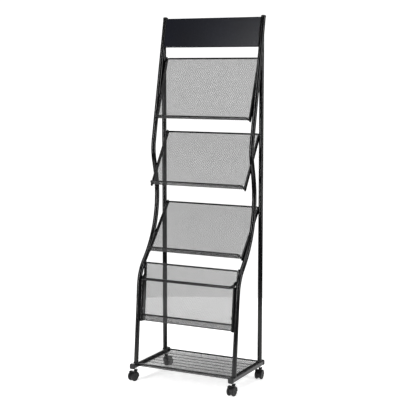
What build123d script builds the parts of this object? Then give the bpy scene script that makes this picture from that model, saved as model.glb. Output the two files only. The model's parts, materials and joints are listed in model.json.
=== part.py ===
from build123d import *
import os
from math import atan2, cos, degrees, hypot, radians, sin

# A mobile newspaper rack: a tube frame on twin-wheel casters, a sign panel, three sloped mesh
# shelves, a deep mesh bin with a guard bar, and a mesh base tray.
# Millimetres. Z is up, the front faces -Y, and the origin is on the floor under the middle.

# Frame tubes
POST_X = 224.0
POST_R = 9.5
WALL = 1.5
POST_FOOT = (-115.4, 74.0)
POST_KNEE = (-80.2, 452.1)
POST_WAIST = (108.6, 650.4)
POST_ELBOW = (33.8, 943.5)
POST_TOP = (146.6, 1485.0)
BEND_RADII = (160.0, 385.0, 180.0)
REAR_POST_Y = 132.0
REAR_POST_REACH = 1412.0
CAP_R = 10.3
CAP_LENGTH = 6.5

# Base
RAIL_SIDE = 20.0
RAIL_Z = (54.0, 74.0)
RAIL_Y = (-148.0, 157.0)
RAIL_CORNER = 4.0
RAIL_CAP_WALL = 1.0
RAIL_CAP_END = 3.0
RAIL_CAP_SLEEVE = 8.0
FRONT_ROD = (-121.0, 70.5)
REAR_ROD = (144.5, 69.0)
ROD_R = 3.5
TRAY_Z = 61.0
SHEET = 1.0

# Sign panel
SIGN_Z = (1367.0, 1484.0)
SIGN_FLANGE = 14.0
SIGN_STEEL = 2.0

# Shelves: side bars lie against the inner side of the posts
BAR_WIDTH = 15.0
BAR_THICK = 3.0
BAR_IN = POST_X - POST_R - BAR_THICK
WIRE_R = 3.5
RIM_R = 3.0
WIRE_BEND = 7.0
RIM_BEND = 10.0
MESH_HALF = 208.4
LIP = 27.0
LIP_EXTRA_TILT = 6.0
SHELVES = {
    1: {"top": (136.0, 1320.5), "fold": (48.5, 1075.0)},
    2: {"top": (141.5, 1015.3), "fold": (4.0, 803.5)},
    3: {"top": (141.5, 716.5), "fold": (-20.4, 528.0)},
}
SHELF_FRONT_BOLT_Z = {1: 1166.2, 2: 875.9, 3: 594.0}

# Bin, the fourth shelf
BIN_TOP = (-52.0, 484.0)
BIN_BACK_FOLD = (-74.4, 249.0)
BIN_FRONT_FOLD = (-95.0, 249.0)
BIN_RIM = (-92.5, 274.0)
BIN_BOLT_Z = 468.0
LEG_R = 6.0
LEG_X = POST_X - POST_R - LEG_R
LEG_Z = (247.0, 423.0)
LEG_BOLT_Z = 300.0
FOOT_Z = (247.0, 273.0)
GUARD_R = 6.0
GUARD_FRONT = (-93.0, 423.5)
GUARD_REAR = (-63.0, 438.0)
GUARD_BEND = 16.0

# Bolts
BOLT_R = 3.0
BOLT_HEAD_R = 4.5
BOLT_HEAD = 3.0
BOLT_END_X = 226.0

# Casters
WHEEL_R = 19.0
WHEEL_IN = 4.9
WHEEL_OUT = 15.3
WHEEL_EDGE = 4.0
TRAIL = 16.0
WEB_HALF = 4.5
HOOD_IN = 19.7
HOOD_OUT = 21.5
HOOD_HALF = 14.6
BOSS_R = 7.5
BOSS_TOP = 45.5
STEM_R = 4.0
STEM_TOP = 64.0
STEM_PIN_R = 3.0
STEM_PIN_Z = 26.0
SHOULDER_Z = 46.0
RUNNING = 0.05
AXLE_R = 2.5
AXLE_HALF = 12.6
CASTERS = {
    "front_left": {"x": -POST_X, "y": -118.0, "yaw": -14.0},
    "front_right": {"x": POST_X, "y": -118.0, "yaw": -4.0},
    "rear_left": {"x": -POST_X, "y": 142.0, "yaw": 60.0},
    "rear_right": {"x": POST_X, "y": 142.0, "yaw": 4.5},
}

SIDES = {"left": -1, "right": 1}
ALONG_X = Plane.YZ


def flat(x, yz):
    """The 3-D point at x whose side view is yz."""
    return Vector(x, yz[0], yz[1])


def line_at_z(start, end, z):
    """The point at height z on the side-view line from start to end."""
    t = (z - start[1]) / (end[1] - start[1])
    return (start[0] + t * (end[0] - start[0]), z)


def post_path(x):
    """The bent centreline of a front post, from inside its rail to its top."""
    foot = line_at_z(POST_FOOT, POST_KNEE, POST_FOOT[1] - 15)
    points = [foot, POST_KNEE, POST_WAIST, POST_ELBOW, POST_TOP]
    wire = FilletPolyline(*[flat(x, p) for p in points], radius=BEND_RADII)
    return wire


def swept(path, radius):
    """A round bar of the given radius along a path."""
    return sweep(Plane(path @ 0, z_dir=path % 0) * Circle(radius), path=path)


def x_rod(yz, radius, x_from, x_to):
    """A round bar across the rack."""
    return Plane(flat(x_from, yz), z_dir=(1, 0, 0)) * extrude(Circle(radius), x_to - x_from)


def x_slab(outline, x_low, x_high):
    """A side-view outline given thickness between two x values."""
    return Pos(x_low, 0, 0) * extrude(ALONG_X * outline, x_high - x_low)


def slot(start, end, width):
    """A round-ended strip between two side-view points."""
    length = hypot(end[0] - start[0], end[1] - start[1])
    angle = degrees(atan2(end[1] - start[1], end[0] - start[0]))
    centre = ((start[0] + end[0]) / 2, (start[1] + end[1]) / 2)
    return Pos(*centre) * Rot(0, 0, angle) * SlotCenterToCenter(length, width)


def offset_corner(before, corner, after, shift):
    """The corner of a bent strip's edge that lies shift to the left of its middle line."""
    a = atan2(corner[1] - before[1], corner[0] - before[0])
    b = atan2(after[1] - corner[1], after[0] - corner[0])
    half = (b - a) / 2
    reach = shift / cos(half)
    return (corner[0] - reach * sin(a + half), corner[1] + reach * cos(a + half))


def offset_end(point, other, shift, sign):
    """The end of a strip's edge, square to its middle line."""
    a = atan2(other[1] - point[1], other[0] - point[0])
    return (point[0] - sign * shift * sin(a), point[1] + sign * shift * cos(a))


def folded_sheet(points, half_width):
    """A sheet folded along a side-view line, the same across the whole rack."""
    edges = []
    for shift in (SHEET / 2, -SHEET / 2):
        edge = [offset_end(points[0], points[1], shift, 1)]
        for before, corner, after in zip(points, points[1:], points[2:]):
            edge.append(offset_corner(before, corner, after, shift))
        edge.append(offset_end(points[-1], points[-2], shift, -1))
        edges.append(edge)
    outline = make_face(Polyline(*edges[0], *reversed(edges[1]), close=True))
    return x_slab(outline, -half_width, half_width)


def side_u(front, rear, bend, radius, leg_x):
    """A round bar across the rack whose ends bend and run to a rear point on each side."""
    path = FilletPolyline(
        flat(-leg_x, rear), flat(-leg_x, front), flat(leg_x, front), flat(leg_x, rear), radius=bend
    )
    return swept(path, radius)


def along(start, end, distance):
    """The point at a distance from start towards end."""
    length = hypot(end[0] - start[0], end[1] - start[1])
    t = distance / length
    return (start[0] + t * (end[0] - start[0]), start[1] + t * (end[1] - start[1]))


def lip_rim(shelf):
    """The side-view point of a shelf's rim wire."""
    top, fold = shelf["top"], shelf["fold"]
    tilt = degrees(atan2(top[0] - fold[0], top[1] - fold[1])) + LIP_EXTRA_TILT
    return (fold[0] - LIP * cos(radians(tilt)), fold[1] + LIP * sin(radians(tilt)))


def bolt_points():
    """Side-view points of the bolts at the rear posts, at the front posts and in the bin's legs."""
    rear, front = [], []
    for number, shelf in SHELVES.items():
        top, fold = shelf["top"], shelf["fold"]
        t = (REAR_POST_Y - top[0]) / (fold[0] - top[0])
        rear.append((REAR_POST_Y, top[1] + t * (fold[1] - top[1])))
        front.append(line_at_z(top, fold, SHELF_FRONT_BOLT_Z[number]))
    front.append(line_at_z(BIN_TOP, BIN_BACK_FOLD, BIN_BOLT_Z))
    leg = [line_at_z(POST_FOOT, POST_KNEE, LEG_BOLT_Z)]
    return rear, front, leg


def bolt(side, yz, seat_x):
    """A round-headed bolt whose head sits on an inner face at seat_x."""
    head = x_rod(yz, BOLT_HEAD_R, seat_x - BOLT_HEAD, seat_x)
    head = fillet(head.edges().group_by(Axis.X)[0], 1.2)
    shank = x_rod(yz, BOLT_R, seat_x, BOLT_END_X)
    made = head + shank
    return made if side > 0 else mirror(made, Plane.YZ)


def shanks(points, side, seat_x):
    """The round holes' cutters for a list of bolts."""
    cutters = [x_rod(p, BOLT_R, seat_x, BOLT_END_X) for p in points]
    return [c if side > 0 else mirror(c, Plane.YZ) for c in cutters]


def leg_solid(side, radius):
    """A bin leg's round bar, as long as the leg."""
    low = line_at_z(POST_FOOT, POST_KNEE, LEG_Z[0])
    high = line_at_z(POST_FOOT, POST_KNEE, LEG_Z[1])
    path = Line(flat(side * LEG_X, low), flat(side * LEG_X, high))
    return swept(path, radius)


def front_post(side):
    """A bent front post, cut flat where it stands on its rail."""
    path = post_path(side * POST_X)
    tube = swept(path, POST_R) - swept(path, POST_R - WALL)
    below = Pos(side * POST_X, POST_FOOT[0], POST_FOOT[1] - 20) * Box(60, 60, 40)
    _, front, leg = bolt_points()
    return tube - below - shanks(front + leg, side, BAR_IN)


def slanted_solid(side):
    """The straight upper run of a front post, filled in."""
    path = Line(flat(side * POST_X, POST_ELBOW), flat(side * POST_X, POST_TOP))
    return swept(path, POST_R)


def rear_post(side):
    """An upright rear post, coped against the slanted front post."""
    low, high = RAIL_Z[1], REAR_POST_REACH
    tube = extrude(Circle(POST_R) - Circle(POST_R - WALL), high - low)
    tube = Pos(side * POST_X, REAR_POST_Y, low) * tube
    rear, _, _ = bolt_points()
    return tube - slanted_solid(side) - shanks(rear, side, BAR_IN)


def post_cap(side):
    """A plastic plug with a low domed head on a front post's top."""
    slope = flat(0, POST_TOP) - flat(0, POST_ELBOW)
    end = Plane(flat(side * POST_X, POST_TOP), z_dir=slope)
    head = extrude(Circle(CAP_R), CAP_LENGTH)
    head = fillet(head.edges().group_by(Axis.Z)[-1], 4.0)
    plug = Pos(0, 0, -12) * extrude(Circle(POST_R - WALL), 12)
    return end * (head + plug)


def rail(side):
    """A side rail, with the holes for its two caster stems."""
    profile = RectangleRounded(RAIL_SIDE, RAIL_SIDE, RAIL_CORNER)
    inner = RectangleRounded(RAIL_SIDE - 2 * WALL, RAIL_SIDE - 2 * WALL, RAIL_CORNER - WALL)
    middle = (RAIL_Z[0] + RAIL_Z[1]) / 2
    start = Plane((side * POST_X, RAIL_Y[0], middle), x_dir=(1, 0, 0), z_dir=(0, 1, 0))
    tube = start * extrude(profile - inner, RAIL_Y[1] - RAIL_Y[0])
    for caster in CASTERS.values():
        if caster["x"] * side > 0:
            hole = extrude(Circle(STEM_R), 4)
            tube -= Pos(caster["x"], caster["y"], RAIL_Z[0] - 1) * hole
    return tube


def rail_cap(side, end):
    """A plastic cap that sleeves over one end of a rail."""
    outer = RAIL_SIDE + 2 * RAIL_CAP_WALL
    profile = RectangleRounded(outer, outer, RAIL_CORNER + RAIL_CAP_WALL)
    shell = extrude(profile, RAIL_CAP_SLEEVE + RAIL_CAP_END)
    shell = fillet(shell.faces().sort_by(Axis.Z)[-1].edges(), 2.0)
    pocket = extrude(RectangleRounded(RAIL_SIDE, RAIL_SIDE, RAIL_CORNER), RAIL_CAP_SLEEVE)
    middle = (RAIL_Z[0] + RAIL_Z[1]) / 2
    mouth_y = RAIL_Y[0] + RAIL_CAP_SLEEVE if end < 0 else RAIL_Y[1] - RAIL_CAP_SLEEVE
    place = Plane((side * POST_X, mouth_y, middle), x_dir=(1, 0, 0), z_dir=(0, end, 0))
    return place * (shell - pocket)


def base_tray():
    """The mesh base sheet, turned up to the front and rear rods."""
    points = [
        (FRONT_ROD[0], FRONT_ROD[1] - ROD_R),
        (FRONT_ROD[0], TRAY_Z),
        (REAR_ROD[0], TRAY_Z),
        (REAR_ROD[0], REAR_ROD[1] - ROD_R),
    ]
    return folded_sheet(points, POST_X - RAIL_SIDE / 2)


def sign_panel():
    """The sign panel: a face in front of the slanted tubes' middle, with top and bottom flanges."""
    low = line_at_z(POST_ELBOW, POST_TOP, SIGN_Z[0])
    high = line_at_z(POST_ELBOW, POST_TOP, SIGN_Z[1])
    height = hypot(high[0] - low[0], high[1] - low[1])
    half = POST_X - POST_R
    section = Rectangle(SIGN_FLANGE, height) - Pos(SIGN_STEEL, 0) * Rectangle(
        SIGN_FLANGE, height - 2 * SIGN_STEEL
    )
    lean = degrees(atan2(high[0] - low[0], high[1] - low[1]))
    middle = ((low[0] + high[0]) / 2, (low[1] + high[1]) / 2)
    panel = x_slab(Pos(*middle) * Rot(0, 0, -lean) * section, -half, half)
    return panel - slanted_solid(-1) - slanted_solid(1)


def side_bar(shelf, side):
    """A flat side bar of a sloped shelf, with its two bolt holes."""
    bar = x_slab(slot(shelf["top"], shelf["fold"], BAR_WIDTH), BAR_IN, BAR_IN + BAR_THICK)
    bar = bar if side > 0 else mirror(bar, Plane.YZ)
    rear, front, _ = bolt_points()
    return bar - shanks(rear + front, side, BAR_IN)


def top_wire(top, fold):
    """A shelf's top wire, with both ends turned down the side bars."""
    leg = along(top, fold, WIRE_BEND + 0.3)
    return side_u(top, leg, WIRE_BEND, WIRE_R, BAR_IN - WIRE_R)


def shelf_mesh(shelf):
    """A sloped shelf's sheet, folded up into its lip."""
    return folded_sheet([shelf["top"], shelf["fold"], lip_rim(shelf)], MESH_HALF)


def rim_wire(shelf):
    """The wire round a lip, whose legs run back to the side bars' lower ends."""
    return side_u(lip_rim(shelf), shelf["fold"], RIM_BEND, RIM_R, BAR_IN - RIM_R)


def bin_bracket(side):
    """A flat bar behind the bin with a foot that reaches forward to the leg."""
    outline = slot(BIN_TOP, BIN_BACK_FOLD, BAR_WIDTH)
    foot_front = line_at_z(POST_FOOT, POST_KNEE, FOOT_Z[1])[0]
    foot_length = BIN_BACK_FOLD[0] - foot_front
    foot_height = FOOT_Z[1] - FOOT_Z[0]
    centre = (foot_front + foot_length / 2, (FOOT_Z[0] + FOOT_Z[1]) / 2)
    outline += Pos(*centre) * Rectangle(foot_length, foot_height)
    bar = x_slab(outline, BAR_IN, BAR_IN + BAR_THICK)
    bar = bar if side > 0 else mirror(bar, Plane.YZ)
    _, front, _ = bolt_points()
    return bar - leg_solid(side, LEG_R) - shanks(front, side, BAR_IN)


def guard_bar():
    """The guard tube across the bin, with both ends bent back to the brackets."""
    leg_x = BAR_IN - GUARD_R
    outer = side_u(GUARD_FRONT, GUARD_REAR, GUARD_BEND, GUARD_R, leg_x)
    inner = side_u(GUARD_FRONT, GUARD_REAR, GUARD_BEND, GUARD_R - 1, leg_x)
    return outer, outer - inner


def bin_leg(side, guard):
    """An upright tube beside the post, from the bin's bottom to the guard."""
    leg = leg_solid(side, LEG_R) - leg_solid(side, LEG_R - 1)
    _, _, points = bolt_points()
    return leg - guard - shanks(points, side, LEG_X - LEG_R)


def bin_mesh():
    """The bin's sheet: a tall back over the brackets, then a bottom and a low front between the legs."""
    back = folded_sheet([BIN_TOP, BIN_BACK_FOLD], MESH_HALF)
    trough = folded_sheet([BIN_TOP, BIN_BACK_FOLD, BIN_FRONT_FOLD, BIN_RIM], LEG_X - LEG_R - 0.5)
    return back + trough


def bin_rim():
    """The rod along the bin's low front, between the legs."""
    rod = x_rod(BIN_RIM, WIRE_R, -LEG_X, LEG_X)
    return rod - leg_solid(-1, LEG_R) - leg_solid(1, LEG_R)


def caster_place(caster):
    """The caster's own frame: stem axis on Z, wheel axis along X, wheels trailing to -Y."""
    return Pos(caster["x"], caster["y"], 0) * Rot(0, 0, caster["yaw"])


def caster_stem():
    """A plain stem with a thin running pin, held in the rail."""
    pin = Pos(0, 0, STEM_PIN_Z) * extrude(Circle(STEM_PIN_R), SHOULDER_Z - STEM_PIN_Z)
    shank = Pos(0, 0, SHOULDER_Z) * extrude(Circle(STEM_R), STEM_TOP - SHOULDER_Z)
    nut = RegularPolygon(6.5, 6)
    collar = Pos(0, 0, RAIL_Z[0] - 2.5) * extrude(nut, 2.5)
    return pin + shank + collar


def caster_hood():
    """The middle web, the arched cover over both wheels and the boss that turns on the stem."""
    axle = Plane((0, -TRAIL, WHEEL_R), x_dir=(0, 1, 0), z_dir=(1, 0, 0))
    web = axle * extrude(Circle(14.5), WEB_HALF, both=True)
    neck = Pos(0, -2.0, 31.0) * Box(2 * WEB_HALF, 13.0, 20.0)
    ring = Circle(HOOD_OUT) - Circle(HOOD_IN)
    sector = make_face(Polyline((0, 0), (60, -8), (60, 60), (-40, 60), close=True))
    cover = axle * extrude(ring & sector, HOOD_HALF, both=True)
    spoke = axle * extrude((Circle(HOOD_IN) - Circle(14.0)) & sector, WEB_HALF, both=True)
    boss = Pos(0, 0, 39.5) * extrude(Circle(BOSS_R), BOSS_TOP - 39.5)
    hood = web + neck + cover + spoke + boss
    hood -= Pos(0, 0, STEM_PIN_Z - 1) * extrude(Circle(STEM_PIN_R + RUNNING), 40)
    return hood - axle * extrude(Circle(AXLE_R), 40, both=True)


def caster_axle():
    """The pin through the web that both wheels turn on."""
    axle = Plane((0, -TRAIL, WHEEL_R), x_dir=(0, 1, 0), z_dir=(1, 0, 0))
    return axle * extrude(Circle(AXLE_R), AXLE_HALF, both=True)


def caster_wheel(side):
    """A closed-faced wheel with a blind bore, a hub ring and a shallow dish on its outer face."""
    face = Plane((side * WHEEL_IN, -TRAIL, WHEEL_R), x_dir=(0, 1, 0), z_dir=(side, 0, 0))
    width = WHEEL_OUT - WHEEL_IN
    wheel = extrude(Circle(WHEEL_R), width)
    wheel = fillet(wheel.edges(), WHEEL_EDGE)
    dish = Pos(0, 0, width - 0.8) * extrude(Circle(11.5) - Circle(4.5), 2)
    bore = extrude(Circle(AXLE_R + RUNNING), AXLE_HALF - WHEEL_IN + 0.5)
    return face * (wheel - dish - bore)


def build_casters(nodes):
    """Four casters, each a stem, a hood, an axle and two wheels."""
    for name, caster in CASTERS.items():
        place = caster_place(caster)
        nodes[f"caster_{name}_stem"] = place * caster_stem()
        nodes[f"caster_{name}_hood"] = place * caster_hood()
        nodes[f"caster_{name}_axle"] = place * caster_axle()
        nodes[f"caster_{name}_wheel_a"] = place * caster_wheel(-1)
        nodes[f"caster_{name}_wheel_b"] = place * caster_wheel(1)


def build_frame(nodes):
    """Posts, rails, caps, base tray and sign panel."""
    for name, side in SIDES.items():
        nodes[f"{name}_front_post"] = front_post(side)
        nodes[f"{name}_rear_post"] = rear_post(side)
        nodes[f"{name}_base_rail"] = rail(side)
    nodes["post_caps"] = Compound(children=[post_cap(side) for side in SIDES.values()])
    ends = [rail_cap(side, end) for side in SIDES.values() for end in (-1, 1)]
    nodes["rail_end_caps"] = Compound(children=ends)
    inner = POST_X - RAIL_SIDE / 2
    nodes["base_front_rod"] = x_rod(FRONT_ROD, ROD_R, -inner, inner)
    nodes["base_rear_rod"] = x_rod(REAR_ROD, ROD_R, -inner, inner)
    nodes["base_mesh"] = base_tray()
    nodes["sign_panel"] = sign_panel()


def build_shelves(nodes):
    """The three sloped shelves."""
    for number, shelf in SHELVES.items():
        for name, side in SIDES.items():
            nodes[f"shelf_{number}_{name}_bar"] = side_bar(shelf, side)
        nodes[f"shelf_{number}_top_wire"] = top_wire(shelf["top"], shelf["fold"])
        nodes[f"shelf_{number}_mesh"] = shelf_mesh(shelf)
        nodes[f"shelf_{number}_rim_wire"] = rim_wire(shelf)


def build_bin(nodes):
    """The deep fourth shelf with its guard bar."""
    guard_solid, guard = guard_bar()
    for name, side in SIDES.items():
        nodes[f"bin_{name}_bracket"] = bin_bracket(side)
        nodes[f"bin_{name}_leg"] = bin_leg(side, guard_solid)
    nodes["bin_top_wire"] = top_wire(BIN_TOP, BIN_BACK_FOLD)
    nodes["bin_mesh"] = bin_mesh()
    nodes["bin_rim_rod"] = bin_rim()
    nodes["bin_guard_bar"] = guard


def build_bolts(nodes):
    """The bolts, grouped by what they hold."""
    rear, front, leg = bolt_points()
    groups = {"shelf_rear_bolts": (rear, BAR_IN), "shelf_front_bolts": (front, BAR_IN)}
    groups["bin_leg_bolts"] = (leg, LEG_X - LEG_R)
    for name, (points, seat) in groups.items():
        made = [bolt(side, p, seat) for side in SIDES.values() for p in points]
        nodes[name] = Compound(children=made)


def main():
    nodes = {}
    build_frame(nodes)
    build_shelves(nodes)
    build_bin(nodes)
    build_bolts(nodes)
    build_casters(nodes)
    os.makedirs("parts", exist_ok=True)
    for name, shape in nodes.items():
        export_step(shape, f"parts/{name}.step")
    everything = Compound(children=list(nodes.values()))
    box = everything.bounding_box()
    print(len(nodes), "nodes", box.min, box.max)


main()
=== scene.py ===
import json
import math

import bpy
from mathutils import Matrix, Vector


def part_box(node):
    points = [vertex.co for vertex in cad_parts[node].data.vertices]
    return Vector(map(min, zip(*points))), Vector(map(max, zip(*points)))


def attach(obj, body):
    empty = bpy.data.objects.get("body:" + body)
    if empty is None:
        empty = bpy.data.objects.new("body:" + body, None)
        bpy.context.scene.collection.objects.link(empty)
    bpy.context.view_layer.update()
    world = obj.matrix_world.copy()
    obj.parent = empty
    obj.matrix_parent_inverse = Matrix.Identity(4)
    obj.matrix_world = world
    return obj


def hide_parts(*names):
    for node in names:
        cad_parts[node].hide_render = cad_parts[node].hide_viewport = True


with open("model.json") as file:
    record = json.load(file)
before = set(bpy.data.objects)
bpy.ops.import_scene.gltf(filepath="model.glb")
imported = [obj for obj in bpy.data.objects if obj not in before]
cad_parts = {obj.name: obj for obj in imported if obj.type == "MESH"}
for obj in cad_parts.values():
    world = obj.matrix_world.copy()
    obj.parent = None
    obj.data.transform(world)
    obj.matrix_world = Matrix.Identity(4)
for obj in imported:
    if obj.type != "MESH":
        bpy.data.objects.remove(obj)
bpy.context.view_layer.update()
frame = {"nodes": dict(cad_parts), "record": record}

# Metres throughout, in the CAD model's frame: Z up, the front faces -Y, the floor at z = 0.

# Camera at the photograph's angle
CAMERA_AIM = Vector((-0.0541, 0.132, 0.7323))
CAMERA_DISTANCE = 4.4315
CAMERA_AZIMUTH = 27.187
CAMERA_ELEVATION = 7.12
CAMERA_LENS = 95.09

# Wire mesh: a strand's width and thickness, and half of each diamond across and along the sheet
SHELF_MESH = {"width": 0.00168, "thick": 0.0004, "half_x": 0.0044, "half_s": 0.0028}
TRAY_MESH = {"width": 0.0018, "thick": 0.00025, "half_x": 0.0044, "half_s": 0.0032}

# The strip down each side of a sheet, and the stiffening strands under the base tray
SELVAGE_WIDTH = 0.0035
TRAY_RIBS = 6
TRAY_RIB_WIDTH = 0.0026
TRAY_RIB_DROP = 0.0016

# Sizes that the CAD model's boxes don't give
SHEET = 0.001
BAR_WIDTH = 0.015
POST_R = 0.0095
WIRE_R = 0.0035
RIM_R = 0.003

# Weld beads: their radii and ripple, and how far each one stands off its joint
BEAD_R = 0.0016
SIGN_BEAD_R = 0.0019
ROD_BEAD_R = 0.0010
BEAD_SIDES = 8
BEAD_RIPPLE = 0.16
BEAD_RIPPLE_TURN = 2.4
SIGN_BEAD_STEPS = 60
SIGN_BEAD_MARGIN = 0.01
SIGN_BEAD_IN = 0.0012
SIGN_BEAD_OUT = 0.0014
FOOT_BEAD_GAP = 0.0004
ROD_BEAD_GAP = 0.0002
ROD_BEAD_INSET = 0.0003

# A direction that no bead runs along
BEAD_REFERENCE = Vector((0.31, 0.17, 0.94))

# Tack welds: how many to an edge, half their sizes, and how far they keep from the sheet's edges
TACKS = 12
TACK_HALF_LENGTH = 0.0032
TACK_HALF_WIDTH = 0.0012
TACK_HALF_HEIGHT = 0.0010
TACK_INSET = 0.0034
TACK_END_GAP = 0.014
TACK_RINGS = 5
TACK_SIDES = 8

RING_POINTS = 28
FLOOR_POINTS = 96

# Finishes by the record's slot name, with one more for welds: two mottled colours, the least and
# the greatest roughness, the grain's scale, and the strength and the depth of its bump
FINISHES = {
    "tube_paint": {
        "name": "tube_paint", "low": (0.0025, 0.0025, 0.0028), "high": (0.0050, 0.0050, 0.0054),
        "rough": (0.12, 0.18), "grain": 420.0, "strength": 0.06, "depth": 0.0001,
        "specular": 0.34,
    },
    "wire_paint": {
        "name": "wire_paint", "low": (0.0025, 0.0025, 0.0028), "high": (0.0052, 0.0052, 0.0056),
        "rough": (0.14, 0.22), "grain": 520.0, "strength": 0.06, "depth": 0.0001,
        "specular": 0.34,
    },
    "mesh": {
        "name": "mesh_paint", "low": (0.012, 0.012, 0.0125), "high": (0.022, 0.022, 0.0225),
        "rough": (0.34, 0.50), "grain": 700.0, "strength": 0.3, "depth": 0.0002,
        "specular": 0.3,
    },
    "sign_paint": {
        "name": "sign_paint", "low": (0.0024, 0.0030, 0.0068), "high": (0.0036, 0.0045, 0.0100),
        "rough": (0.22, 0.28), "grain": 620.0, "strength": 0.06, "depth": 0.0001,
        "specular": 0.24,
    },
    "cap_plastic": {
        "name": "cap_plastic", "low": (0.006, 0.006, 0.0065), "high": (0.011, 0.011, 0.0115),
        "rough": (0.42, 0.58), "grain": 900.0, "strength": 0.35, "depth": 0.0002,
        "specular": 0.35,
    },
    "bolt_steel": {
        "name": "bolt_steel", "low": (0.05, 0.05, 0.052), "high": (0.11, 0.11, 0.115),
        "rough": (0.25, 0.42), "grain": 800.0, "strength": 0.2, "depth": 0.0001,
        "metallic": 1.0,
    },
    "bright_steel": {
        "name": "bright_steel", "low": (0.60, 0.60, 0.61), "high": (0.74, 0.74, 0.75),
        "rough": (0.14, 0.28), "grain": 500.0, "strength": 0.2, "depth": 0.0001,
        "metallic": 1.0, "stretch": (1.0, 1.0, 8.0),
    },
    "caster_plastic": {
        "name": "caster_plastic", "low": (0.004, 0.004, 0.0046), "high": (0.008, 0.008, 0.009),
        "rough": (0.38, 0.55), "grain": 900.0, "strength": 0.35, "depth": 0.0002,
        "specular": 0.28,
    },
    "wheel_plastic": {
        "name": "wheel_plastic", "low": (0.005, 0.005, 0.0058), "high": (0.009, 0.009, 0.010),
        "rough": (0.40, 0.60), "grain": 650.0, "strength": 0.4, "depth": 0.0003,
        "specular": 0.28,
    },
    "weld": {
        "name": "weld_paint", "low": (0.0045, 0.0045, 0.005), "high": (0.009, 0.009, 0.0095),
        "rough": (0.28, 0.42), "grain": 300.0, "strength": 0.5, "depth": 0.0006,
        "specular": 0.32,
    },
}

# The mottling's noise, and the parts of a noise's range that spread over colours and numbers
MOTTLE_SCALE = 9.0
FINISH_DETAIL = 3.0
COLOUR_RANGE = (0.35, 0.65)
NUMBER_RANGE = (0.3, 0.7)

# Floor: a disc that glows a little, so that it reads as white as the surround
FLOOR_R = 1.6
FLOOR_COLOURS = ((0.90, 0.90, 0.90), (0.92, 0.92, 0.92))
FLOOR_GRAIN = 2.0
FLOOR_DETAIL = 2.0
FLOOR_ROUGH = 0.85
FLOOR_SPECULAR = 0.1
FLOOR_GLOW = 0.6

# Surround: its strength as the camera sees it, and as everything else does
WHITE = 1.12
DIM = 0.06
WHITE_COLOUR = (1.0, 1.0, 1.0, 1.0)

# Light from above: its power, its spread and its tilt in degrees
SKY_POWER = 1.75
SKY_SPREAD = 60
SKY_TILT = (14, -8)

# Soft boxes: where each stands, the height it aims at on the rack's middle, its size and power
SOFTBOXES = {
    "left_light": {
        "place": (-1.25, -3.8, 1.55), "aim_z": 1.1, "width": 0.3, "height": 3.0, "power": 110,
    },
    "right_light": {
        "place": (3.6, -0.35, 1.5), "aim_z": 0.9, "width": 0.5, "height": 2.8, "power": 60,
    },
    "back_left_light": {
        "place": (-2.2, 3.2, 1.5), "aim_z": 0.9, "width": 0.5, "height": 2.8, "power": 22,
    },
    "back_right_light": {
        "place": (1.2, 3.7, 1.5), "aim_z": 0.9, "width": 0.35, "height": 2.8, "power": 16,
    },
}

SHELF_NUMBERS = (1, 2, 3)
SIDES = {"left": -1, "right": 1}


def make_object(name, verts, faces, smooth=False):
    """A mesh object from plain lists of points and faces."""
    mesh = bpy.data.meshes.new(name)
    mesh.from_pydata(verts, [], faces)
    mesh.update()
    if smooth:
        mesh.shade_smooth()
    obj = bpy.data.objects.new(name, mesh)
    bpy.context.scene.collection.objects.link(obj)
    return obj


# Materials

def principled(name):
    """A new material and its Principled shader."""
    mat = bpy.data.materials.new(name)
    mat.use_nodes = True
    return mat, mat.node_tree.nodes["Principled BSDF"]


def noise(tree, scale, detail, stretch=None):
    """A noise texture in object coordinates, stretched along an axis where asked."""
    nodes, links = tree.nodes, tree.links
    coords = nodes.new("ShaderNodeTexCoord")
    texture = nodes.new("ShaderNodeTexNoise")
    texture.inputs["Scale"].default_value = scale
    texture.inputs["Detail"].default_value = detail
    if stretch is None:
        links.new(coords.outputs["Object"], texture.inputs["Vector"])
    else:
        mapping = nodes.new("ShaderNodeMapping")
        mapping.inputs["Scale"].default_value = stretch
        links.new(coords.outputs["Object"], mapping.inputs["Vector"])
        links.new(mapping.outputs["Vector"], texture.inputs["Vector"])
    return texture.outputs["Fac"]


def ramp(tree, source, low, high):
    """The source's value spread between two colours."""
    node = tree.nodes.new("ShaderNodeValToRGB")
    for element, position, colour in zip(node.color_ramp.elements, COLOUR_RANGE, (low, high)):
        element.position = position
        element.color = (*colour, 1.0)
    tree.links.new(source, node.inputs["Fac"])
    return node.outputs["Color"]


def spread(tree, source, low, high):
    """The source's value spread between two numbers."""
    node = tree.nodes.new("ShaderNodeMapRange")
    node.inputs["From Min"].default_value = NUMBER_RANGE[0]
    node.inputs["From Max"].default_value = NUMBER_RANGE[1]
    node.inputs["To Min"].default_value = low
    node.inputs["To Max"].default_value = high
    tree.links.new(source, node.inputs["Value"])
    return node.outputs["Result"]


def bump(tree, source, strength, depth):
    """A normal bumped by the source's value."""
    node = tree.nodes.new("ShaderNodeBump")
    node.inputs["Strength"].default_value = strength
    node.inputs["Distance"].default_value = depth
    tree.links.new(source, node.inputs["Height"])
    return node.outputs["Normal"]


def finish_material(
    name, low, high, rough, grain, strength, depth, metallic=0.0, stretch=None, specular=0.5
):
    """A finish with mottled colour, uneven roughness and a fine surface grain."""
    mat, shader = principled(name)
    tree = mat.node_tree
    mottle = noise(tree, MOTTLE_SCALE, FINISH_DETAIL)
    fine = noise(tree, grain, FINISH_DETAIL, stretch)
    tree.links.new(ramp(tree, mottle, low, high), shader.inputs["Base Color"])
    tree.links.new(spread(tree, fine, *rough), shader.inputs["Roughness"])
    tree.links.new(bump(tree, fine, strength, depth), shader.inputs["Normal"])
    shader.inputs["Metallic"].default_value = metallic
    shader.inputs["Specular IOR Level"].default_value = specular
    return mat


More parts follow.
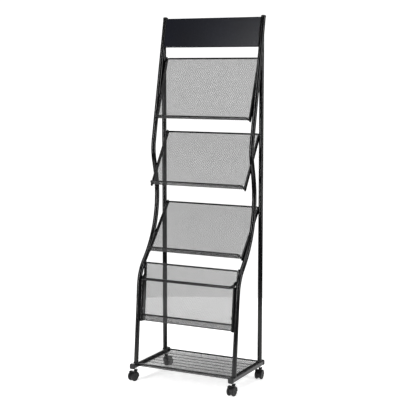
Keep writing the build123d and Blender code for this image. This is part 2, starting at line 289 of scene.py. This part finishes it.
def paint_cad_nodes(materials):
    """Gives each CAD node that stays the finish of its slot."""
    slots = {part["node"]: part["material_slot"] for part in frame["record"]["subparts"]}
    for name, obj in frame["nodes"].items():
        obj.data.materials.clear()
        obj.data.materials.append(materials[slots[name]])


# Wire mesh sheets

class Fold:
    """A folded sheet's middle line in side view, measured along its length."""

    def __init__(self, points):
        self.points = [Vector((0.0, y, z)) for y, z in points]
        self.marks = [0.0]
        for a, b in zip(self.points, self.points[1:]):
            self.marks.append(self.marks[-1] + (b - a).length)
        self.length = self.marks[-1]

    def segment(self, s):
        """The index of the flat part that holds a distance."""
        for i in range(len(self.marks) - 2):
            if s < self.marks[i + 1]:
                return i
        return len(self.marks) - 2

    def frame(self, i):
        """The direction and the normal of a flat part."""
        along = (self.points[i + 1] - self.points[i]).normalized()
        return along, along.cross(Vector((1.0, 0.0, 0.0)))

    def place(self, i, x, s, lift=0.0):
        """A point of flat part i, at x and distance s, lifted along the normal."""
        along, normal = self.frame(i)
        return self.points[i] + along * (s - self.marks[i]) + normal * lift + Vector((x, 0, 0))


def add_bar(verts, faces, start, end, across, up):
    """A square-edged strand from start to end: across and up are its half sizes as vectors."""
    base = len(verts)
    for point in (start, end):
        for a, b in ((-1, -1), (1, -1), (1, 1), (-1, 1)):
            verts.append(point + across * a + up * b)
    for k in range(4):
        n = (k + 1) % 4
        faces.append((base + k, base + n, base + 4 + n, base + 4 + k))
    faces.append((base + 3, base + 2, base + 1, base))
    faces.append((base + 4, base + 5, base + 6, base + 7))


def strand_stops(fold, slope, offset, half_width, least):
    """Where one slanting strand starts, crosses the folds and ends, as x and distance."""
    ends = sorted((-offset / slope, (fold.length - offset) / slope))
    x_low, x_high = max(-half_width, ends[0]), min(half_width, ends[1])
    if x_high - x_low < least:
        return []
    stops = [x_low, x_high]
    for mark in fold.marks[1:-1]:
        x = (mark - offset) / slope
        if x_low < x < x_high:
            stops.append(x)
    return [(x, offset + slope * x) for x in sorted(stops)]


def add_strands(verts, faces, fold, half_width, weave, layer):
    """One layer of slanting strands over a folded sheet."""
    rise = weave["half_s"] / weave["half_x"]
    slope = layer * rise
    lift = layer * weave["thick"] / 2
    offset = -half_width * rise
    while offset < fold.length + half_width * rise:
        stops = strand_stops(fold, slope, offset, half_width, weave["width"])
        for (xa, sa), (xb, sb) in zip(stops, stops[1:]):
            i = fold.segment((sa + sb) / 2)
            normal = fold.frame(i)[1]
            start, end = fold.place(i, xa, sa, lift), fold.place(i, xb, sb, lift)
            across = (end - start).normalized().cross(normal) * (weave["width"] / 2)
            add_bar(verts, faces, start, end, across, normal * (weave["thick"] / 2))
        offset += 2 * weave["half_s"]


def add_net(verts, faces, fold, half_width, weave):
    """A mesh sheet of two crossing layers of strands, with a plain strip down each side."""
    inner = half_width - SELVAGE_WIDTH / 2
    for layer in (-1, 1):
        add_strands(verts, faces, fold, inner, weave, layer)
    across = Vector((SELVAGE_WIDTH / 2, 0, 0))
    for x in (-inner, inner):
        for i in range(len(fold.points) - 1):
            start = fold.place(i, x, fold.marks[i])
            end = fold.place(i, x, fold.marks[i + 1])
            add_bar(verts, faces, start, end, across, fold.frame(i)[1] * (SHEET / 2))


def add_ribs(verts, faces, fold, half_width):
    """Straight stiffening strands across the rack under the base tray."""
    front, rear = fold.marks[1], fold.marks[2]
    along, normal = fold.frame(1)
    across, up = along * (TRAY_RIB_WIDTH / 2), normal * (TRAY_RIB_DROP / 2)
    for k in range(1, TRAY_RIBS + 1):
        s = front + (rear - front) * k / (TRAY_RIBS + 1)
        start = fold.place(1, -half_width, s, -TRAY_RIB_DROP / 2)
        end = fold.place(1, half_width, s, -TRAY_RIB_DROP / 2)
        add_bar(verts, faces, start, end, across, up)


def shelf_fold(number):
    """A sloped shelf's middle line, from its side bar's ends and its rim wire."""
    low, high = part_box(f"shelf_{number}_left_bar")
    rim_low, rim_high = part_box(f"shelf_{number}_rim_wire")
    half = BAR_WIDTH / 2
    top = (high.y - half, high.z - half)
    fold = (low.y + half, low.z + half)
    rim = (rim_low.y + RIM_R, rim_high.z - RIM_R)
    return Fold([top, fold, rim])


def low_points(node):
    """The points of a folded sheet's bottom, from the node's own mesh."""
    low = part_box(node)[0]
    return [v.co for v in frame["nodes"][node].data.vertices if v.co.z < low.z + 2 * SHEET]


def box_middle(node):
    """The side-view middle of a node's box."""
    low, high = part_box(node)
    return ((low.y + high.y) / 2, (low.z + high.z) / 2)


def bin_folds():
    """The bin's back over its brackets, and its bottom and low front between its legs."""
    bottom = low_points("bin_mesh")
    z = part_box("bin_mesh")[0].z + SHEET / 2
    rear = (max(p.y for p in bottom) - SHEET / 2, z)
    front = (min(p.y for p in bottom) + SHEET / 2, z)
    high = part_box("bin_top_wire")[1]
    top = (high.y - WIRE_R, high.z - WIRE_R)
    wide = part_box("bin_mesh")[1].x
    narrow = max(p.x for p in bottom)
    return [(Fold([top, rear]), wide), (Fold([rear, front, box_middle("bin_rim_rod")]), narrow)]


def tray_fold():
    """The base tray's middle line, from the front rod's underside to the rear rod's."""
    low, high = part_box("base_mesh")
    front, rear = low.y + SHEET / 2, high.y - SHEET / 2
    z = low.z + SHEET / 2
    front_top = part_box("base_front_rod")[0].z
    rear_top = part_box("base_rear_rod")[0].z
    return Fold([(front, front_top), (front, z), (rear, z), (rear, rear_top)])


def sheet_folds():
    """The middle lines of each mesh sheet with their half widths, by CAD node."""
    sheets = {}
    for number in SHELF_NUMBERS:
        node = f"shelf_{number}_mesh"
        sheets[node] = [(shelf_fold(number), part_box(node)[1].x)]
    sheets["bin_mesh"] = bin_folds()
    sheets["base_mesh"] = [(tray_fold(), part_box("base_mesh")[1].x)]
    return sheets


def build_nets(sheets, materials):
    """The visible wire mesh in place of the CAD model's plain sheets."""
    for node, folds in sheets.items():
        verts, faces = [], []
        weave = TRAY_MESH if node == "base_mesh" else SHELF_MESH
        for fold, half in folds:
            add_net(verts, faces, fold, half, weave)
        if node == "base_mesh":
            add_ribs(verts, faces, *folds[0])
        piece = make_object(f"{node}_net", verts, faces)
        piece.data.materials.append(materials["mesh"])
        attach(piece, "frame")
        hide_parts(node)


# Welds

def add_grid(faces, rows, columns, base=0, closed=False):
    """Faces between rows of points that each run round a ring; closed joins the last row on."""
    for i in range(rows if closed else rows - 1):
        lower, upper = base + i * columns, base + (i + 1) % rows * columns
        for k in range(columns):
            n = (k + 1) % columns
            faces.append((lower + k, lower + n, upper + n, upper + k))
    if not closed:
        last = base + (rows - 1) * columns
        faces.append(tuple(base + k for k in reversed(range(columns))))
        faces.append(tuple(last + k for k in range(columns)))


def bead(name, points, closed, radius=BEAD_R):
    """A rippled weld bead along a line of points, with its ends closed where the line is open."""
    verts, faces = [], []
    count = len(points)
    for i, point in enumerate(points):
        before = points[i - 1] if closed or i > 0 else points[0]
        after = points[(i + 1) % count] if closed or i < count - 1 else points[-1]
        along = (after - before).normalized()
        across = along.cross(BEAD_REFERENCE).normalized()
        up = along.cross(across)
        ripple = radius * (1.0 + BEAD_RIPPLE * math.sin(BEAD_RIPPLE_TURN * i))
        for k in range(BEAD_SIDES):
            angle = 2 * math.pi * k / BEAD_SIDES
            verts.append(point + (across * math.cos(angle) + up * math.sin(angle)) * ripple)
    add_grid(faces, count, BEAD_SIDES, closed=closed)
    return make_object(name, verts, faces, smooth=True)


def ring(centre, radius, axis, count=RING_POINTS):
    """Points round a circle about the X or the Z axis."""
    points = []
    for k in range(count):
        a = 2 * math.pi * k / count
        if axis == "Z":
            points.append(centre + Vector((radius * math.cos(a), radius * math.sin(a), 0)))
        else:
            points.append(centre + Vector((0, radius * math.cos(a), radius * math.sin(a))))
    return points


def sign_seam(side):
    """Points down one end of the sign panel's face, where it meets its post."""
    corners = [v.co for v in frame["nodes"]["sign_panel"].data.vertices if v.co.x * side > 0]
    low = min(corners, key=lambda p: p.y)
    high = max(corners, key=lambda p: p.z)
    inward = (high - low).normalized().cross(Vector((-1.0, 0.0, 0.0)))
    shift = inward * SIGN_BEAD_IN + Vector((side * SIGN_BEAD_OUT, 0.0, 0.0))
    run = 1 - 2 * SIGN_BEAD_MARGIN
    fractions = [SIGN_BEAD_MARGIN + run * k / SIGN_BEAD_STEPS for k in range(SIGN_BEAD_STEPS + 1)]
    return [low.lerp(high, t) + shift for t in fractions]


def foot_bead(name, x, y, z):
    """A bead round an upright tube where it stands on its rail."""
    foot = Vector((x, y, z + FOOT_BEAD_GAP))
    return bead(name, ring(foot, POST_R + FOOT_BEAD_GAP, "Z"), True)


def rod_bead(name, rod, side):
    """A bead round one end of a base rod."""
    low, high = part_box(rod)
    y, z = box_middle(rod)
    centre = Vector((side * (high.x - ROD_BEAD_INSET), y, z))
    radius = (high.z - low.z) / 2 + ROD_BEAD_GAP
    return bead(name, ring(centre, radius, "X"), True, ROD_BEAD_R)


def build_welds(materials):
    """Beads where the posts, the rails, the base rods and the sign panel meet."""
    beads = []
    for name, side in SIDES.items():
        beads.append(bead(f"{name}_sign_weld", sign_seam(side), False, SIGN_BEAD_R))
    for name, side in SIDES.items():
        low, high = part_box(f"{name}_front_post")
        x = (low.x + high.x) / 2
        beads.append(foot_bead(f"{name}_front_foot_weld", x, low.y + POST_R, low.z))
        low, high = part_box(f"{name}_rear_post")
        beads.append(foot_bead(f"{name}_rear_foot_weld", x, (low.y + high.y) / 2, low.z))
        for rod in ("base_front_rod", "base_rear_rod"):
            beads.append(rod_bead(f"{name}_{rod}_weld", rod, side))
    for piece in beads:
        piece.data.materials.append(materials["weld"])
        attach(piece, "frame")


def add_tack(verts, faces, centre, along, normal):
    """A small rounded tack weld, lengthened along the wire."""
    base = len(verts)
    across = along.cross(normal)
    for i in range(TACK_RINGS):
        lift = math.pi * (i + 0.5) / TACK_RINGS - math.pi / 2
        for k in range(TACK_SIDES):
            turn = 2 * math.pi * k / TACK_SIDES
            verts.append(
                centre
                + along * (TACK_HALF_LENGTH * math.cos(lift) * math.cos(turn))
                + across * (TACK_HALF_WIDTH * math.cos(lift) * math.sin(turn))
                + normal * (TACK_HALF_HEIGHT * math.sin(lift))
            )
    add_grid(faces, TACK_RINGS, TACK_SIDES, base)


def add_tack_row(verts, faces, fold, end, half):
    """A row of tacks along one edge of a sheet: end is 0 for its first edge, -1 for its last."""
    part = 0 if end == 0 else len(fold.points) - 2
    along, normal = fold.frame(part)
    inward = along if end == 0 else -along
    for k in range(TACKS):
        x = half * (2 * k / (TACKS - 1) - 1)
        place = fold.points[end] + inward * TACK_INSET + Vector((x, 0, 0))
        add_tack(verts, faces, place, Vector((1, 0, 0)), normal)


def build_tacks(sheets, materials):
    """Tack welds that hold each mesh sheet's first and last edges to their wires."""
    for node, folds in sheets.items():
        verts, faces = [], []
        for (fold, half), end in ((folds[0], 0), (folds[-1], -1)):
            add_tack_row(verts, faces, fold, end, half - TACK_END_GAP)
        piece = make_object(f"{node}_tacks", verts, faces, smooth=True)
        piece.data.materials.append(materials["weld"])
        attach(piece, "frame")


# Stage, light and camera

def plain_floor():
    """A pale round floor under the rack."""
    rim = ring(Vector((0, 0, 0)), FLOOR_R, "Z", FLOOR_POINTS)
    floor = make_object("floor", rim, [tuple(range(FLOOR_POINTS))])
    mat, shader = principled("floor")
    tree = mat.node_tree
    colour = ramp(tree, noise(tree, FLOOR_GRAIN, FLOOR_DETAIL), *FLOOR_COLOURS)
    tree.links.new(colour, shader.inputs["Base Color"])
    shader.inputs["Roughness"].default_value = FLOOR_ROUGH
    shader.inputs["Specular IOR Level"].default_value = FLOOR_SPECULAR
    shader.inputs["Emission Color"].default_value = WHITE_COLOUR
    shader.inputs["Emission Strength"].default_value = FLOOR_GLOW
    floor.data.materials.append(mat)


def surround():
    """A surround that looks white and lights the rack dimly, so black gloss stays black."""
    world = bpy.data.worlds.new("surround")
    world.use_nodes = True
    nodes, links = world.node_tree.nodes, world.node_tree.links
    white = nodes["Background"]
    white.inputs["Color"].default_value = WHITE_COLOUR
    white.inputs["Strength"].default_value = WHITE
    dim = nodes.new("ShaderNodeBackground")
    dim.inputs["Color"].default_value = WHITE_COLOUR
    dim.inputs["Strength"].default_value = DIM
    path = nodes.new("ShaderNodeLightPath")
    mix = nodes.new("ShaderNodeMixShader")
    links.new(path.outputs["Is Camera Ray"], mix.inputs[0])
    links.new(dim.outputs[0], mix.inputs[1])
    links.new(white.outputs[0], mix.inputs[2])
    links.new(mix.outputs[0], nodes["World Output"].inputs["Surface"])
    bpy.context.scene.world = world


def sky_panel():
    """A broad even light from above."""
    data = bpy.data.lights.new("sky_panel", "SUN")
    data.energy = SKY_POWER
    data.angle = math.radians(SKY_SPREAD)
    lamp = bpy.data.objects.new("sky_panel", data)
    lamp.rotation_euler = (math.radians(SKY_TILT[0]), math.radians(SKY_TILT[1]), 0)
    bpy.context.scene.collection.objects.link(lamp)


def softbox(name, place, aim_z, width, height, power):
    """A tall soft area light; it lights the rack and its shine, and the camera doesn't see it."""
    data = bpy.data.lights.new(name, "AREA")
    data.shape = "RECTANGLE"
    data.size = width
    data.size_y = height
    data.energy = power
    lamp = bpy.data.objects.new(name, data)
    lamp.visible_camera = False
    lamp.location = place
    direction = Vector((0, 0, aim_z)) - Vector(place)
    lamp.rotation_euler = direction.to_track_quat("-Z", "Y").to_euler()
    bpy.context.scene.collection.objects.link(lamp)


def camera():
    """The camera at the photograph's angle, with no shift."""
    azimuth, elevation = math.radians(CAMERA_AZIMUTH), math.radians(CAMERA_ELEVATION)
    back = Vector((
        math.sin(azimuth) * math.cos(elevation),
        -math.cos(azimuth) * math.cos(elevation),
        math.sin(elevation),
    ))
    data = bpy.data.cameras.new("camera")
    data.lens = CAMERA_LENS
    eye = bpy.data.objects.new("camera", data)
    eye.location = CAMERA_AIM + back * CAMERA_DISTANCE
    eye.rotation_euler = (math.pi / 2 - elevation, 0.0, azimuth)
    bpy.context.scene.collection.objects.link(eye)
    bpy.context.scene.camera = eye


materials = {slot: finish_material(**finish) for slot, finish in FINISHES.items()}
sheets = sheet_folds()
paint_cad_nodes(materials)
build_nets(sheets, materials)
build_tacks(sheets, materials)
build_welds(materials)
plain_floor()
surround()
sky_panel()
for name, box in SOFTBOXES.items():
    softbox(name, **box)
camera()
bpy.context.scene.view_settings.view_transform = "Standard"
